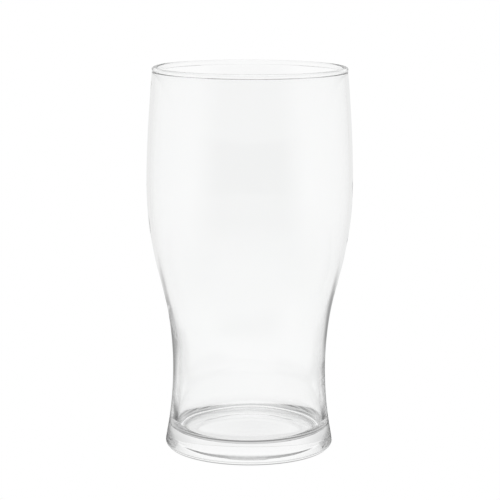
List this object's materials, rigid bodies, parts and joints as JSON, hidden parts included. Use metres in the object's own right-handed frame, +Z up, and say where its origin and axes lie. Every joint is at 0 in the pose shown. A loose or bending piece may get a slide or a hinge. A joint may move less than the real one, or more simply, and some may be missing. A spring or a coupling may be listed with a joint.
{
  "type": "pint glass",
  "caption": "Tulip pint glass in clear glass, with a bulged upper bowl, a narrow waist, a flared heavy foot and a rounded rim.",
  "frame": {"origin": "middle of the foot, on the surface that the glass stands on", "axes": "+Z up along the glass's axis, towards the rim; the glass is round, so X and Y are free"},
  "size_m": [0.0826, 0.0826, 0.154],
  "materials": {
    "glass": "polished"
  },
  "bodies": {
    "root": {"glass_body": "glass"}
  },
  "joints": []
}
